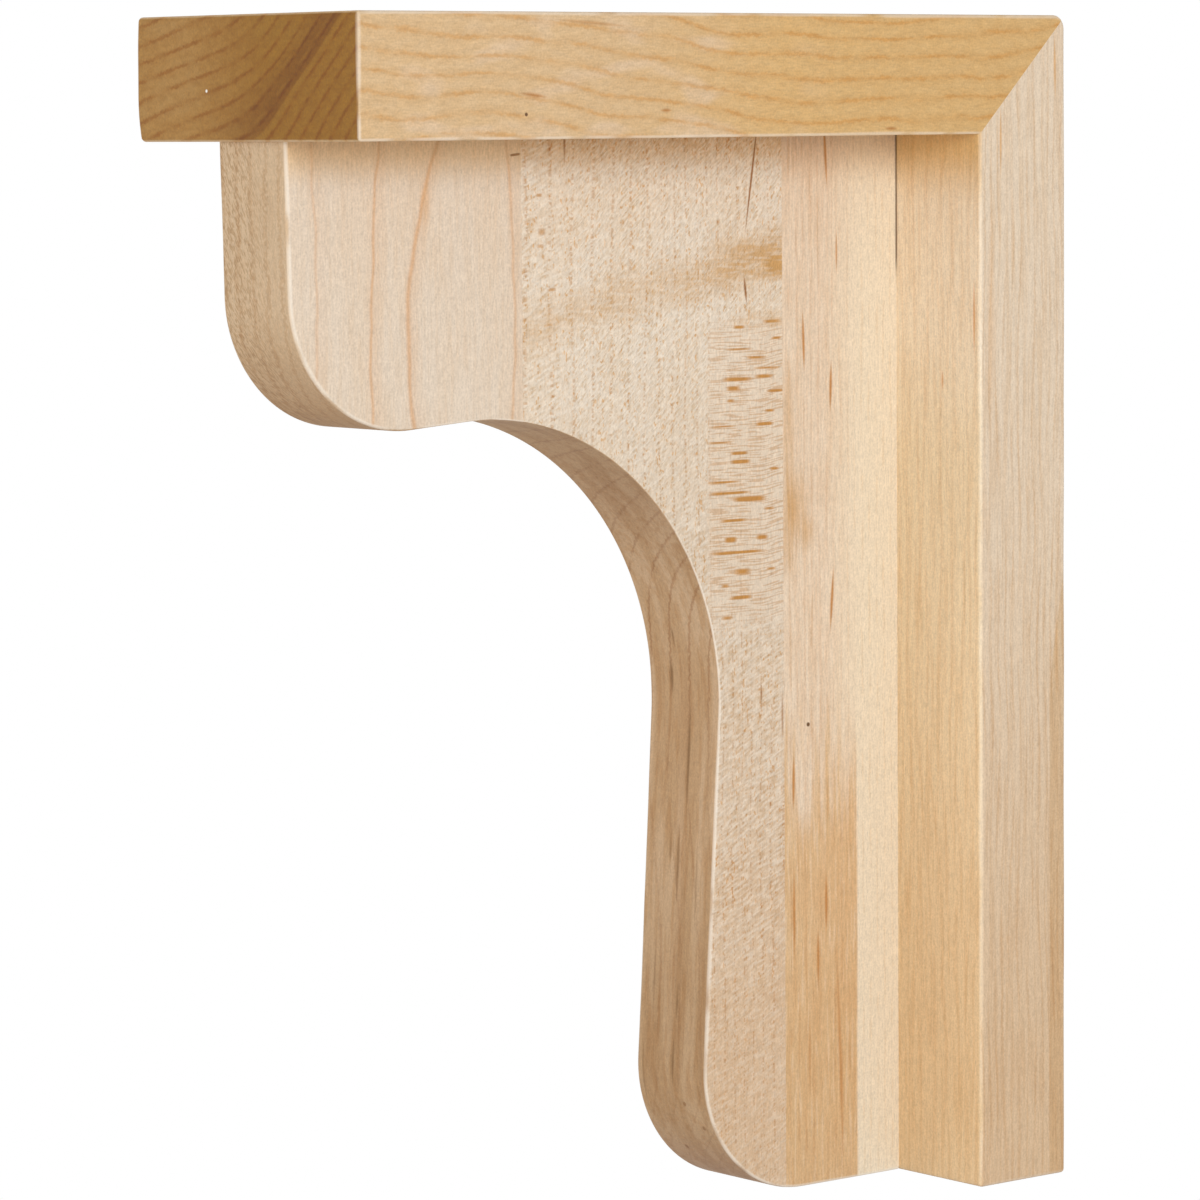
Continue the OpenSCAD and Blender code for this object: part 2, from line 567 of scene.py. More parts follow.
def dressed(wood, base, end, tone, run, sanded_and_highlight=0.45):
    """What every piece has in common: fibres, end grain, and pale arrises, partly wood made paler by
    sanding and partly painted highlight.

    run is the size of the fibres; tone is what end grain is multiplied by; the last value is how pale
    the arrises are, paler wood from sanding and painted highlight together. Gives the colour and the
    relief."""
    fibre = wood.cloud(run, 2, 0.7, 3.1)
    grit = wood.cloud((0.42, 0.42, 0.42), 0, 0.5, 6.0)
    base = wood.stain(end, base, tone)
    base = wood.shaded(base, 1 + (fibre - 0.5) * 0.46 + (grit - 0.5) * 0.24)
    # Pale arrises: partly wood made paler by sanding, partly painted highlight on the rounded edges
    wear_and_highlight = wood.arris * wood.cloud((9, 9, 9), 0, 0.5, 8.0).rise(0.2, 0.5)
    base = wood.mix(wear_and_highlight * sanded_and_highlight, base, SANDED_AND_HIGHLIGHT)
    return base, fibre + grit * 0.5


# ---------------------------------------------------------------------------
# Marks of this one bracket, in millimetres, with the heights measured from the top of the shelf

# Rings on the nose's sides: place, bend, height of the bend, half thickness and strength
NOSE_RINGS = (
    (-168.3, 1.6, -70, 0.32, 0.5),
    (-159.0, 6.5, -66, 0.45, 0.55),
    (-131.4, -1.9, -60, 0.32, 0.42),
    (-181.8, -1.2, -60, 0.3, 0.32),
)
# Pin knots on the leg: place across and height
LEG_PINS = ((7.6, -238.5), (3.4, -233.5), (-3.0, -244.5))
# Streaks: centre, lean, start, end, half width and strength
SHELF_FLECKS = (
    (-16.6, -0.12, -151, -143, 0.38, 0.65),
    (-19.8, 0.0, -114.5, -111, 0.3, 0.7),
    (-24.0, 0.0, -53, -49, 0.32, 0.7),
    (-2.2, -0.07, -142, -122, 0.3, 0.4),
)
WALL_SIDE_MARKS = (
    (-3.2, -0.02, -19, -3, 0.26, 0.75),
    (-19.3, 0.0, -36, -18, 0.26, 0.75),
    (-22.2, 0.0, -92, -38, 0.9, 0.28),
    (-15.8, 0.0, -60, -34, 0.35, 0.15),
    (-2.6, 0.0, -150, -128, 0.4, 0.3),
)
WALL_FRONT_MARKS = (
    (36.2, 0, -74, -55, 0.28, 0.6),
    (26.2, 0, -81, -76, 0.25, 0.5),
)
MIDDLE_CRACKS = (
    (-67.0, 0.155, -48, -20, 0.2, 1.0),
    (-68.9, -0.12, -61.5, -54.5, 0.25, 0.85),
    (-118.0, 0.0, -31.5, -20, 0.25, 0.6),
    (-65.0, 0.0, -147.5, -142, 0.2, 0.6),
    (-59.0, 0.0, -156, -144, 0.25, 0.5),
)
LEG_MARKS = (
    (1.9, 0.0, -172, -145, 0.32, 0.8),
    (-4.1, 0.02, -146, -137, 0.38, 0.75),
    (-2.2, 0.0, -135, -130, 0.3, 0.55),
    (-0.3, 0.0, -191, -172, 0.4, 0.6),
    (-2.9, 0.0, -183, -174, 0.3, 0.4),
    (-6.6, 0.0, -217, -196, 0.3, 0.4),
    (1.3, 0.0, -216, -207, 0.28, 0.6),
    (0.6, 0.03, -231, -218, 0.3, 0.65),
    (-9.4, 0.0, -238, -220, 0.28, 0.4),
    (6.0, 0.0, -196, -176, 0.3, 0.3),
)
REAR_STREAKS = (
    (-46.0, -0.06, -38, -20, 0.28, 0.85),
    (-42.9, 0.0, -56, -45, 0.24, 0.6),
    (-52.5, -0.03, -77, -62, 0.28, 0.85),
    (-44.7, 0.03, -86, -73, 0.3, 0.85),
    (-44.6, 0.07, -134, -118, 0.28, 0.9),
    (-55.9, 0.02, -172, -158, 0.3, 0.85),
    (-55.9, 0.0, -206, -182, 0.28, 0.75),
    (-46.6, 0.0, -200, -184, 0.3, 0.8),
    (-49.0, 0.0, -212, -196, 0.3, 0.75),
    (-51.5, 0.0, -236, -214, 0.3, 0.4),
    (-42.7, -0.035, -253, -198, 0.4, 0.5),
)
# Ray flecks: middle height, middle across, their half sizes, and strength
RAY_BARS = (
    (-79.8, -60.5, 0.3, 2.2, 0.7),
    (-81.5, -73.2, 0.35, 1.0, 0.5),
    (-84.0, -62.2, 0.3, 1.3, 0.6),
    (-86.8, -63.6, 0.35, 2.2, 0.8),
    (-86.9, -75.5, 0.2, 3.5, 0.5),
    (-90.3, -76.2, 0.22, 3.0, 0.5),
    (-92.8, -70.8, 0.32, 2.2, 0.8),
    (-94.6, -70.5, 0.42, 2.5, 0.8),
    (-98.8, -75.2, 0.24, 4.2, 0.6),
    (-101.2, -73.5, 0.3, 5.0, 0.75),
    (-102.7, -68.0, 0.5, 4.0, 0.85),
    (-107.1, -72.5, 0.32, 3.5, 0.7),
    (-111.2, -73.4, 0.6, 1.6, 0.7),
    (-111.1, -64.5, 0.5, 1.5, 0.65),
    (-114.0, -71.5, 0.32, 7.0, 0.75),
    (-118.2, -70.1, 0.65, 2.1, 0.55),
    (-123.7, -70.5, 0.42, 2.8, 0.7),
    (-127.9, -74.5, 0.4, 1.4, 0.5),
    (-64.9, -61.5, 0.35, 2.3, 0.6),
    (-65.9, -70.7, 0.35, 1.5, 0.65),
    (-68.5, -60.2, 0.3, 1.2, 0.6),
    (-70.6, -70.8, 0.25, 3.4, 0.5),
    (-72.5, -66.0, 0.3, 2.4, 0.55),
    (-74.8, -63.0, 0.25, 3.4, 0.5),
    (-77.0, -71.2, 0.45, 3.8, 0.65),
    (-76.6, -63.8, 0.4, 2.4, 0.6),
    (-78.9, -72.4, 0.5, 1.8, 0.6),
    (-96.5, -61.0, 0.3, 1.2, 0.6),
    (-105.0, -62.5, 0.3, 1.4, 0.5),
    (-118.0, -62.0, 0.3, 1.2, 0.5),
    (-121.0, -75.0, 0.4, 1.0, 0.5),
    (-37.0, -124.8, 0.35, 0.8, 0.4),
    (-56.5, -121.5, 0.35, 0.9, 0.4),
    (-63.8, -122.3, 0.3, 0.8, 0.35),
    (-44.5, -124.2, 0.7, 0.9, 0.35),
    (-47.5, -124.6, 0.4, 0.9, 0.35),
)


# ---------------------------------------------------------------------------
# The wood of each piece


def shelf_wood(colours):
    """Golden plain-sawn maple whose grain runs out from the wall."""
    wood = Wood("shelf board maple")
    x, y, drop = wood.x, wood.y, wood.drop
    near = x.rise(36.5, 37.5)
    end = wood.ny.rise(0.6, 0.95)
    bend = (x * 0.27).math("SMOOTH_MAX", x * 0.85 - 2, 10)
    wave = wood.cloud((60, 32, 26), 1, 0.5, 1.3)
    depth = bend - drop - 11 * (y + 58).hump(62) + (wave - 0.5) * 7
    rings = depth / 4.2
    broken = wood.cloud((6, 8, 2.5), 1, 0.6, 7.7).rise(0.34, 0.6)
    lines = ring_lines(rings, 0.17, 0.2) * (0.15 + 0.85 * broken)

    light = tuple(colours.shelf)
    base = wood.mix(y.rise(-135, -72) * 0.85, light, times(light, (1.0, 0.91, 0.66)))
    patches = wood.cloud((20, 17, 6), 1, 0.5, 2.2).rise(0.52, 0.7)
    base = wood.mix(patches * 0.6 * y.rise(-60, -105), base, times(light, (1.06, 1.14, 1.4)))
    mottle = wood.cloud((3, 3.2, 1.4), 0, 0.5, 5.5).rise(0.35, 0.65)
    base = wood.stain(mottle * 0.2, base, (0.9, 0.8, 0.62))
    base = wood.stain(lines * 0.55, base, (0.90, 0.67, 0.36))
    base = wood.stain(rings.math("PINGPONG", 0.5).rise(0.5, 0) * 0.22, base, (0.88, 0.74, 0.52))
    flecks = marks(drop, y, SHELF_FLECKS)
    base = wood.mix(flecks * near, base, times(colours.streak, 0.85))
    base = wood.mix(spot(y + 149, drop + 20.4, 0.35) * near, base, tuple(colours.dark))

    band = depth.rise(15, 24) * depth.rise(27.4, 26.6) * x.rise(-16, 8) * end
    base = wood.stain(band * 0.75, base, (0.66, 0.52, 0.36))
    base = wood.stain(lines * end * 0.35, base, (0.6, 0.46, 0.3))
    clumps = wood.cloud((2.2, 6, 1.1), 1, 0.6, 10.0).rise(0.38, 0.66) * end
    base = wood.stain(clumps * 0.35, base, (0.78, 0.68, 0.5))
    pale = ring_lines(rings + 0.3, 0.2) * broken * end
    base = wood.mix(pale * 0.3, base, times(light, (1.15, 1.2, 1.35)))
    glow = (depth - 14.4).hump(0.6) * broken * end
    base = wood.mix(glow * 0.4, base, times(light, (1.1, 1.15, 1.3)))
    far_tone, near_tone = times(colours.end, (1.08, 1.02, 0.66)), times(colours.end, (0.82, 0.67, 0.165))
    tone = wood.mix(x.rise(-26, 12), far_tone, near_tone)
    base, relief = dressed(wood, base, end, tone, (0.4, 2.2, 0.4), 0.4)
    base = wood.mix(spot(x + 13.2, drop + 15.2, 0.3) * end, base, (1.0, 0.95, 0.85))
    return wood.finish(base, relief, RELIEF_DEPTH, 0.52 + 0.1 * relief)


def wall_wood(colours):
    """Straight-grained straw-coloured maple whose grain runs up the wall."""
    wood = Wood("wall board maple")
    x, y, drop = wood.x, wood.y, wood.drop
    side = x.rise(36.5, 37.5)
    facing = y.rise(-24.5, -25.3)
    wobble = (wood.cloud((16, 16, 45), 1, 0.5, 2.3) - 0.5) * 5
    rings = (0.5 * x + 0.86 * y + wobble) / 1.75
    broken = wood.cloud((3, 3, 24), 1, 0.6, 9.1).rise(0.36, 0.62)
    lines = ring_lines(rings, 0.22, 0.3) * (0.2 + 0.8 * broken)

    light = tuple(colours.wall)
    high_cream, low_cream = times(light, (1.30, 1.35, 1.35)), times(light, (1.21, 1.21, 1.09))
    cream = wood.mix(drop.rise(-60, -100), high_cream, low_cream)
    # Painted shade: a warmer, darker tone on the front face close under the shelf board
    cream = wood.mix(drop.rise(-42, -27), cream, times(light, (1.09, 0.90, 0.54)))
    base = wood.mix(facing, light, cream)
    base = wood.stain(drop.rise(-70, -250), base, (0.91, 0.80, 0.67))
    threads = wood.cloud((1.1, 1.1, 22), 1, 0.6, 4.1)
    base = wood.stain(threads.rise(0.4, 0.7) * 0.45, base, (0.86, 0.74, 0.60))
    base = wood.stain(lines * (0.5 - 0.2 * wood.ny.rise(0.6, 0.95)), base, (0.84, 0.70, 0.55))
    band = (y + 5 * drop.rise(-110, -150)).rise(0, 0.5) * drop.rise(-108, -122) * side
    base = wood.stain(band * 0.7, base, (0.88, 0.78, 0.62))
    side_marks = marks(y, drop, WALL_SIDE_MARKS)
    base = wood.mix(side_marks * side, base, times(colours.streak, (1.3, 1.7, 2.8)))
    front_marks = marks(x, drop, WALL_FRONT_MARKS)
    base = wood.mix(front_marks * facing, base, times(colours.streak, 1.4))
    base, relief = dressed(wood, base, wood.nz.rise(0.6, 0.95), tuple(colours.end), (0.4, 0.4, 2.2), 0.2)
    gap = (abs(x) - MIDDLE[1].x / MM).hump(0.25) * facing * drop.rise(-58, -50)
    base = wood.mix(gap * 0.85, base, tuple(colours.dark))
    return wood.finish(base, relief, RELIEF_DEPTH, 0.52 + 0.1 * relief)


def nose_wood(colours):
    """Plain-sawn pinkish cream strip with a few wide, waving rings."""
    wood = Wood("nose strip maple")
    x, y, drop = wood.x, wood.y, wood.drop
    side = wood.nx.rise(0.6, 0.95)
    inside = y + 0.3 * (abs(x) - NOSE[1].x / MM)
    light = tuple(colours.nose)
    slow = wood.cloud((10, 9, 26), 1, 0.5, 4.4)
    base = wood.mix(slow.rise(0.35, 0.65) * 0.6, light, times(light, (0.99, 0.95, 0.90)))
    # Painted shade: a warmer, darker tone close under the shelf board
    base = wood.stain(drop.rise(-35.5, -26.5) * 0.8, base, (1.07, 0.88, 0.59))
    # Sawn front and under faces: partly their own warmer tone, partly painted shade, darker and more
    # saturated than the sides
    cut = wood.mix(drop.rise(-58, -70), times(light, (0.92, 0.79, 0.62)), times(light, (0.83, 0.68, 0.50)))
    cut = wood.mix(wood.nz.rise(0.45, 0.85), cut, times(light, (1.0, 0.86, 0.68)))
    base = wood.mix(side, cut, base)
    threads = wood.cloud((1.0, 0.9, 12), 1, 0.6, 1.7)
    base = wood.stain(threads.rise(0.42, 0.7) * 0.24, base, (0.88, 0.76, 0.62))
    ripple = (wood.cloud((8, 8, 10), 1, 0.5, 6.6) - 0.5) * 1.6
    for level, bend, middle, thick, strength in NOSE_RINGS:
        across = inside - level - bend * ((drop - middle) / 36) ** 2 + ripple
        tint = across.hump(thick) * strength + (across - 0.8).hump(1.6) * 0.35 * strength
        base = wood.mix((tint * side).clamped(), base, (0.62, 0.34, 0.16))
    knot = (inside + 154.3).hump(0.9) * (drop + 38).hump(3.5) * side
    base = wood.mix(knot * 0.45, base, (0.64, 0.36, 0.16))
    rings = (((x - 60) ** 2 + (y + 160) ** 2).math("SQRT") + ripple * 2) / 4.5
    lines = ring_lines(rings, 0.18, 0.5) * (1 - side)
    base = wood.stain(lines * 0.4, base, (0.74, 0.60, 0.44))
    leaning = wood.at(x + wood.z * 0.5, y, wood.z)
    left = wood.cloud((0.35, 3, 1.15), 0, 0.6, 2.0, leaning).rise(0.5, 0.62) * (1 - side) * x.rise(11, -7)
    base = wood.stain(left * 0.55, base, (0.62, 0.50, 0.34))
    base, relief = dressed(wood, base, wood.nz.rise(0.35, 1.0), tuple(colours.end), (0.4, 0.4, 2.0), 0.5)
    dash = dashes(drop + 28.6 - 0.1 * (y + 131), y, ((0.0, -131, 0.25, 1.2, 0.9),))
    base = wood.mix(dash * x.rise(10.5, 11.3), base, times(colours.streak, 0.5))
    return wood.finish(base, relief, RELIEF_DEPTH, 0.54 + 0.1 * relief)


def middle_wood(colours):
    """Quarter-sawn cream strip: curly fleck on its sides, rings where cove and leg cut across."""
    wood = Wood("middle strip maple")
    x, y, z, drop = wood.x, wood.y, wood.z, wood.drop
    side = wood.nx.rise(0.6, 0.95)
    front = 1 - side
    near = x.rise(10, 11.2)
    light = tuple(colours.middle)
    slow = wood.cloud((20, 14, 26), 1, 0.5, 3.3)
    base = wood.mix(slow.rise(0.35, 0.65) * 0.7, light, times(light, (0.97, 0.93, 0.88)))
    base = wood.stain(drop.rise(-100, -245) * 0.95, base, (0.93, 0.79, 0.65))
    # Painted shade: a warmer, darker tone close under the shelf board
    base = wood.stain(drop.rise(-34, -26) * 0.8, base, (1.01, 0.78, 0.50))
    base = wood.stain(drop.rise(-62, -120), base, (0.94, 0.925, 0.91))
    # Sawn front and under faces: partly their own warmer tone, partly painted shade; lighter round the
    # cove, darker down the leg
    leg_tone, cove_tone = times(light, (0.77, 0.595, 0.425)), times(light, (0.89, 0.72, 0.51))
    cut = wood.mix(drop.rise(-104, -84), leg_tone, cove_tone)
    cut = wood.mix(drop.rise(-175, -212), cut, times(light, (0.68, 0.505, 0.335)))
    cut = wood.mix(wood.nz.rise(0.5, 0.85) * drop.rise(-205, -230), cut, times(light, (0.77, 0.59, 0.44)))
    base = wood.mix(side, cut, base)

    wobble = (wood.cloud((30, 30, 34), 0, 0.5, 6.1) - 0.5) * 0.9
    steeper = 1.5 * (y + 76.8) - 32.8
    rings = 5.6 * ((x - 34) ** 2 + steeper**2).math("LOGARITHM", math.e) + wobble
    lines = ring_lines(rings, 0.085, 0.16) * wood.cloud((6, 6, 14), 1, 0.6, 15.0).rise(0.22, 0.5)
    threads = wood.cloud((1.3, 1.3, 16), 1, 0.6, 9.4)
    bands = wood.cloud((4, 9, 45), 0, 0.5, 13.0)
    base = wood.stain(threads.rise(0.42, 0.7) * front * 0.6, base, (0.84, 0.72, 0.56))
    base = wood.stain(bands.rise(0.4, 0.62) * front * 0.6, base, (0.80, 0.70, 0.54))
    faded = 1 - 0.6 * drop.rise(-135, -165) - 0.4 * drop.rise(-125, -100)
    base = wood.stain(lines * front * faded * 0.56, base, (0.58, 0.40, 0.24))
    core = (x - 0.6).hump(1.6) * drop.rise(-225, -205) * drop.rise(-130, -150) * front
    base = wood.stain(core * 0.4, base, (0.80, 0.66, 0.50))

    def strokes(angle, size, shift):
        """Short strokes rising towards the wall at an angle in degrees."""
        c, s = math.cos(math.radians(angle)), math.sin(math.radians(angle))
        turned = wood.at(x, y * c + z * s, z * c - y * s)
        return wood.cloud((2, 3.6 * size, size), 0.45, 0.6, shift, turned)

    steep, flat = strokes(44, 0.42, 1.0), strokes(27, 0.6, 2.0)
    curl = steep + (flat - steep) * drop.rise(-70, -125).largest(y.rise(-112, -124))
    columns = wood.cloud((4, 1.5, 20), 0, 0.5, 7.0).rise(0.38, 0.62)
    ray_zone = y.rise(-80.5, -78) * drop.rise(-62, -69) * drop.rise(-134, -124) * side
    figured = side * (1 - 0.75 * ray_zone) * (1 - 0.45 * drop.rise(-180, -228))
    dark_strokes = curl.rise(0.51, 0.66) * (0.35 + 0.65 * columns) * figured
    pale_strokes = curl.rise(0.48, 0.34) * figured
    base = wood.stain(dark_strokes * 0.53, base, (0.79, 0.65, 0.47))
    # Pale curl strokes: partly the figure's paler fibres, partly painted highlight
    base = wood.mix(pale_strokes * 0.21, base, SANDED_AND_HIGHLIGHT)
    specks = wood.cloud((0.8, 0.5, 0.9), 0, 0.5, 16.0).rise(0.66, 0.73) * (0.3 + 0.7 * columns) * figured
    base = wood.stain(specks * 0.8, base, (0.86, 0.61, 0.36))
    beads = wood.cloud((3, 2, 0.6), 0, 0.5, 5.5).rise(0.5, 0.62)
    base = wood.stain(ring_lines(rings, 0.12) * beads * side * 0.5, base, (0.70, 0.47, 0.28))

    tilted = drop - 0.9 * y.rise(-65, -58)
    thin = wood.cloud((4, 6, 0.36), 0, 0.4, 12.0, wood.at(x, y, tilted))
    base = wood.mix(ray_zone * 0.45, base, times(light, (0.98, 0.94, 0.9)))
    base = wood.stain(thin.rise(0.51, 0.62) * ray_zone * 0.55, base, (0.74, 0.52, 0.32))
    bars = dashes(drop, y, RAY_BARS)
    base = wood.mix((bars * 1.2).clamped() * near, base, times(colours.streak, (1.0, 1.08, 1.0)))

    line = drop + 56.5 - 0.21 * (y + 91) + (wood.cloud((9, 14, 6), 1, 0.5, 9.0) - 0.5) * 7
    layers = wood.cloud((3, 5, 0.7), 1, 0.5, 18.0).rise(0.3, 0.65)
    smudge = line.hump(4.2) * (0.36 + 0.42 * y.rise(-98, -60)) * (0.5 + 0.6 * layers)
    smudge = smudge + (drop + 64.5).hump(1.6) * y.rise(-76, -66) * 0.45 * layers
    smudge = smudge + (drop + 53.4).hump(2.0) * y.rise(-67, -60) * 0.5
    base = wood.mix((smudge * side).clamped(), base, (0.56, 0.32, 0.12))
    cracks = marks(y, drop, MIDDLE_CRACKS)
    base = wood.mix(cracks * near, base, times(colours.streak, (0.6, 0.52, 0.35)))
    leg_marks = marks(x, drop, LEG_MARKS)
    base = wood.mix(leg_marks * front * y.rise(-86, -84), base, times(colours.streak, (0.5, 0.6, 0.8)))
    for across, along in LEG_PINS:
        pin = spot(x - across, drop - along, 0.45) * front
        base = wood.mix(pin * 0.7, base, times(colours.streak, 0.5))
    end = wood.nz.rise(0.3, 1.0) * 0.85
    # How pale the arrises are: paler wood from sanding and painted highlight together
    sanded_and_highlight = 0.1 + y.rise(-92, -84) * 0.45
    base, relief = dressed(wood, base, end, tuple(colours.end), (0.42, 0.42, 1.8), sanded_and_highlight)
    relief = relief * 0.35 - curl * figured * 2.9
    return wood.finish(base, relief, 2 * RELIEF_DEPTH, 0.58 - 0.06 * curl)


def rear_wood(colours):
    """Pinkish heartwood with mineral streaks, turning into pale sapwood next to the wall board."""
    wood = Wood("rear strip maple")
    x, y, drop = wood.x, wood.y, wood.drop
    near = x.rise(9, 11)
    wave = (wood.cloud((6, 3, 28), 1, 0.5, 5.2) - 0.5) * 2.2
    crisp = (y + 37.6 + wave * 0.5).rise(-0.5, 0.5)
    soft = (y + 41 + wave).rise(-8, 7)
    sapwood = soft + (crisp - soft) * drop.rise(-142, -174)
    threads = wood.cloud((1.6, 0.8, 11), 1, 0.6, 3.7)
    tongues = wood.cloud((2, 1.5, 40), 1, 0.6, 5.9)
    warm = (drop + (tongues - 0.5) * 70).rise(-150, -178)
    heart = tuple(colours.heart)
    flush = (y + 53).hump(2.6) * (drop + 167).hump(7)
    base = wood.mix((warm - flush * 0.9).clamped(), heart, times(heart, (0.90, 0.76, 0.56)))
    base = wood.stain(threads.rise(0.46, 0.68) * 0.22, base, (0.84, 0.67, 0.5))
    base = wood.mix(threads.rise(0.46, 0.32) * 0.16, base, (0.93, 0.82, 0.68))
    base = wood.stain(tongues.rise(0.52, 0.66) * 0.18, base, (0.84, 0.67, 0.47))
    broken = wood.cloud((2, 2, 9), 1, 0.6, 6.2).rise(0.4, 0.62)
    lines = ring_lines((y + wave * 0.6) / 2.1, 0.2, 0.3) * broken
    base = wood.stain(lines * 0.36, base, (0.78, 0.60, 0.44))
    tan = (y + 57).hump(1.4) * drop.rise(-122, -116) * drop.rise(-70, -82)
    smear = (y + 54.8).hump(2.2) * (drop + 105).hump(5.5)
    smear = smear + (y + 51.5).hump(1.7) * (drop + 111).hump(3) * 0.8
    blotch = (tan * 0.6 + smear * 0.85) * (0.5 + 0.6 * threads) * near
    base = wood.mix(blotch.clamped(), base, (0.58, 0.34, 0.15))
    base = wood.stain(drop.rise(-190, -225), base, (0.97, 0.95, 0.91))
    base = wood.mix(sapwood, base, tuple(colours.sap))
    # Painted shade: a warmer, darker tone close under the shelf board
    base = wood.stain(drop.rise(-38, -27) * 0.5, base, (0.98, 0.80, 0.60))
    base = wood.stain(lines * sapwood * 0.3, base, (0.85, 0.70, 0.5))
    streaks = marks(y, drop, REAR_STREAKS)
    base = wood.mix(streaks * near, base, tuple(colours.streak))
    base = wood.mix(spot(y + 51.6, drop + 152.6, 0.42) * near, base, tuple(colours.dark))
    base, relief = dressed(wood, base, wood.nz.rise(0.35, 1.0), tuple(colours.end), (0.4, 0.4, 2.4), 0.5)
    gap = (y + 25.4).hump(0.25) * drop.rise(-57, -52)
    base = wood.mix(gap * 0.9, base, tuple(colours.dark))
    return wood.finish(base, relief, RELIEF_DEPTH, 0.52 + 0.1 * relief)


# ---------------------------------------------------------------------------
# Stage

# The floor lies this far below the wall board, out of reach of the views from below
FLOOR_BELOW = 1.0
FLOOR_RADIUS = 8
FLOOR_GLOW = 0.21
FLOOR_GREY = (0.85, 0.85, 0.85, 1)
KEY_PLACE = Vector((0.95, -0.42, 0.27))
KEY_WIDTH = 0.42
FILL_PLACE = Vector((-0.5, -1.5, 0.3))
FILL_WIDTH = 1.0
LIGHTS_AIM = Vector((0, -0.08, 0))
CAMERA_LENS = 157.9
CAMERA_YAW, CAMERA_PITCH, CAMERA_ROLL = 50.879, -5.305, -0.464
CAMERA_PLACE = Vector((0.86266, -0.80173, SHELF[1].z - 0.01988))
WHITE = (1, 1, 1, 1)


def seen_and_lit(tree, lit, seen, end):
    """Lets the camera see one shader, and the rest of the scene be lit by another."""
    ray = tree.nodes.new("ShaderNodeLightPath")
    either = tree.nodes.new("ShaderNodeMixShader")
    tree.links.new(ray.outputs["Is Camera Ray"], either.inputs["Fac"])
    tree.links.new(lit.outputs[0], either.inputs[1])
    tree.links.new(seen.outputs[0], either.inputs[2])
    tree.links.new(either.outputs["Shader"], end.inputs["Surface"])


def add_surroundings(scene, sky_strength):
    """White surroundings that light the scene with a strength of their own."""
    world = bpy.data.worlds.new("white surroundings")
    scene.world = world
    world.use_nodes = True
    nodes = world.node_tree.nodes
    sky = nodes["Background"]
    sky.inputs["Color"].default_value = WHITE
    sky.inputs["Strength"].default_value = sky_strength
    seen = nodes.new("ShaderNodeBackground")
    seen.inputs["Color"].default_value = WHITE
    seen.inputs["Strength"].default_value = 1.0
    seen_and_lit(world.node_tree, sky, seen, nodes["World Output"])


def add_floor(scene):
    """A wide round floor that looks white and throws a little light up."""
    mesh = bpy.data.meshes.new("floor")
    turns = [math.radians(a) for a in range(0, 360, 5)]
    low = WALL[0].z - FLOOR_BELOW
    ring = [(FLOOR_RADIUS * math.cos(a), FLOOR_RADIUS * math.sin(a), low) for a in turns]
    mesh.from_pydata(ring, [], [tuple(range(len(ring)))])
    floor = bpy.data.objects.new("floor", mesh)
    scene.collection.objects.link(floor)
    paint = bpy.data.materials.new("pale floor")
    paint.use_nodes = True
    nodes = paint.node_tree.nodes
    matt = nodes["Principled BSDF"]
    matt.inputs["Base Color"].default_value = FLOOR_GREY
    matt.inputs["Roughness"].default_value = 0.9
    matt.inputs["Emission Color"].default_value = WHITE
    matt.inputs["Emission Strength"].default_value = FLOOR_GLOW
    white = nodes.new("ShaderNodeEmission")
    white.inputs["Color"].default_value = WHITE
    white.inputs["Strength"].default_value = 1.0
    seen_and_lit(paint.node_tree, matt, white, nodes["Material Output"])
    mesh.materials.append(paint)


def add_light(scene, name, place, width, power):
    """A round soft light that is turned towards the bracket."""
    lamp = bpy.data.lights.new(name, "AREA")
    lamp.shape, lamp.size, lamp.energy = "DISK", width, power
    light = bpy.data.objects.new(name, lamp)
    scene.collection.objects.link(light)
    light.location = place
    light.rotation_euler = (LIGHTS_AIM - place).to_track_quat("-Z", "Y").to_euler()


def add_camera(scene):
    """A long lens that looks a little down on the bracket's front and near side."""
    lens = bpy.data.cameras.new("camera")
    lens.sensor_width = 36
    lens.lens = CAMERA_LENS
    lens.clip_start = 0.05
    camera = bpy.data.objects.new("camera", lens)
    scene.collection.objects.link(camera)
    yaw, pitch, roll = (math.radians(a) for a in (CAMERA_YAW, CAMERA_PITCH, CAMERA_ROLL))
    level = math.cos(pitch)
    ahead = Vector((-math.sin(yaw) * level, math.cos(yaw) * level, math.sin(pitch)))
    right = Vector((math.cos(yaw), math.sin(yaw), 0))
    up = right.cross(ahead)
    turned = right * math.cos(roll) + up * math.sin(roll)
    above = up * math.cos(roll) - right * math.sin(roll)
    spin = Matrix((turned, above, -ahead)).transposed().to_4x4()
    camera.matrix_world = Matrix.Translation(CAMERA_PLACE) @ spin
    scene.camera = camera


# ---------------------------------------------------------------------------
# Operators


class CORBEL_OT_shelf_board(bpy.types.Operator):
    """Build the shelf board, mitred at the wall and eased all round"""

    bl_idname = "corbel.shelf_board"
    bl_label = "Shelf board"

    def execute(self, context):
        settings = context.scene.corbel
        mitre = Vector((1, 1))
        path = board_path(settings.sizes, True)
        side = (SHELF[0].x, SHELF[1].x)
        board = slab("top_board_wood", path, *side, [], (mitre, mitre), 1.0, SHELF_CROWN)
        finish_piece(board, "top_board", shelf_wood(settings.colours))
        return {"FINISHED"}


class CORBEL_OT_wall_board(bpy.types.Operator):
    """Build the board that lies against the wall, mitred under the shelf board"""

    bl_idname = "corbel.wall_board"
    bl_label = "Wall board"

    def execute(self, context):
        settings = context.scene.corbel
        mitre = Vector((1, 1))
        path = board_path(settings.sizes, False)
        board = slab("back_board_wood", path, WALL[0].x, WALL[1].x, [], (mitre, mitre), 2.0)
        finish_piece(board, "back_board", wall_wood(settings.colours))
        return {"FINISHED"}


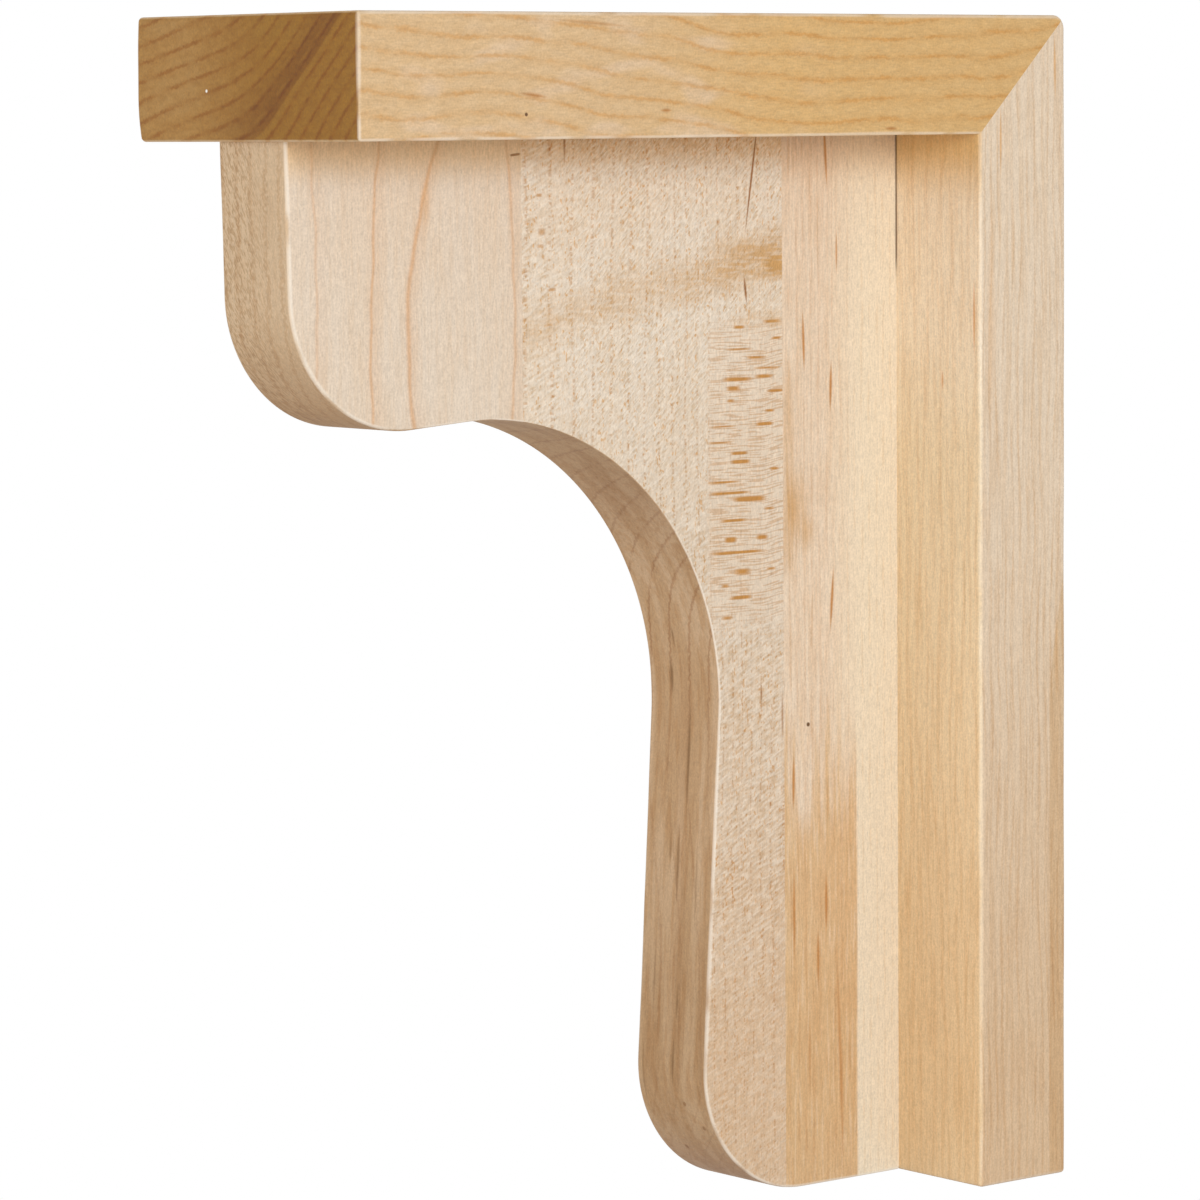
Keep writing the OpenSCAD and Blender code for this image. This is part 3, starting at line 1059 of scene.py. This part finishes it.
class CORBEL_OT_web(bpy.types.Operator):
    """Build the three glued strips of the web, sawn to one outline"""

    bl_idname = "corbel.web"
    bl_label = "Web"

    def execute(self, context):
        settings = context.scene.corbel
        edge = web_edge(settings.sizes)
        under = NOSE[1].z
        up, back = Vector((0, 1)), Vector((1, 0))
        strips = (
            ("nose_strip", NOSE, (back, up), nose_wood, 3.0),
            ("middle_strip", MIDDLE, (up, up), middle_wood, 4.0),
            ("rear_strip", REAR, (up, up), rear_wood, 5.0),
        )
        for node, box, planes, wood, seed in strips:
            first, last = box[0].y, box[1].y
            path = part_of_edge(edge, first, last)
            corners = [Vector((last, under))]
            if path[0][0].y < under - MM:
                corners.append(Vector((first, under)))
            piece = slab(node + "_wood", path, box[0].x, box[1].x, corners, planes, seed)
            finish_piece(piece, node, wood(settings.colours))
        return {"FINISHED"}


class CORBEL_OT_stage(bpy.types.Operator):
    """Set up the pale floor, the soft lights and the camera"""

    bl_idname = "corbel.stage"
    bl_label = "Stage"

    def execute(self, context):
        scene = context.scene
        stage = scene.corbel.stage
        add_surroundings(scene, stage.sky)
        add_floor(scene)
        add_light(scene, "key light", KEY_PLACE, KEY_WIDTH, stage.key)
        add_light(scene, "fill light", FILL_PLACE, FILL_WIDTH, stage.fill)
        add_camera(scene)
        scene.view_settings.view_transform = "Standard"
        return {"FINISHED"}


class CorbelSettings(bpy.types.PropertyGroup):
    """All the settings of the corbel."""

    sizes: PointerProperty(type=CorbelSizes)
    colours: PointerProperty(type=CorbelColours)
    stage: PointerProperty(type=StageSettings)


class CORBEL_PT_panel(bpy.types.Panel):
    """Buttons and settings of the corbel"""

    bl_idname = "CORBEL_PT_panel"
    bl_label = "Corbel"
    bl_space_type = "VIEW_3D"
    bl_region_type = "UI"
    bl_category = "Corbel"

    def draw(self, context):
        for operator in OPERATORS:
            self.layout.operator(operator.bl_idname)
        settings = context.scene.corbel
        for group in (settings.sizes, settings.colours, settings.stage):
            box = self.layout.box()
            for key in group.bl_rna.properties.keys():
                if key not in ("name", "rna_type"):
                    box.prop(group, key)


OPERATORS = (CORBEL_OT_shelf_board, CORBEL_OT_wall_board, CORBEL_OT_web, CORBEL_OT_stage)
CLASSES = (CorbelSizes, CorbelColours, StageSettings, CorbelSettings, *OPERATORS, CORBEL_PT_panel)


def register():
    for cls in CLASSES:
        bpy.utils.register_class(cls)
    bpy.types.Scene.corbel = PointerProperty(type=CorbelSettings)


def unregister():
    del bpy.types.Scene.corbel
    for cls in reversed(CLASSES):
        bpy.utils.unregister_class(cls)


def main():
    register()
    bpy.ops.corbel.shelf_board()
    bpy.ops.corbel.wall_board()
    bpy.ops.corbel.web()
    bpy.ops.corbel.stage()


if __name__ == "__main__":
    main()
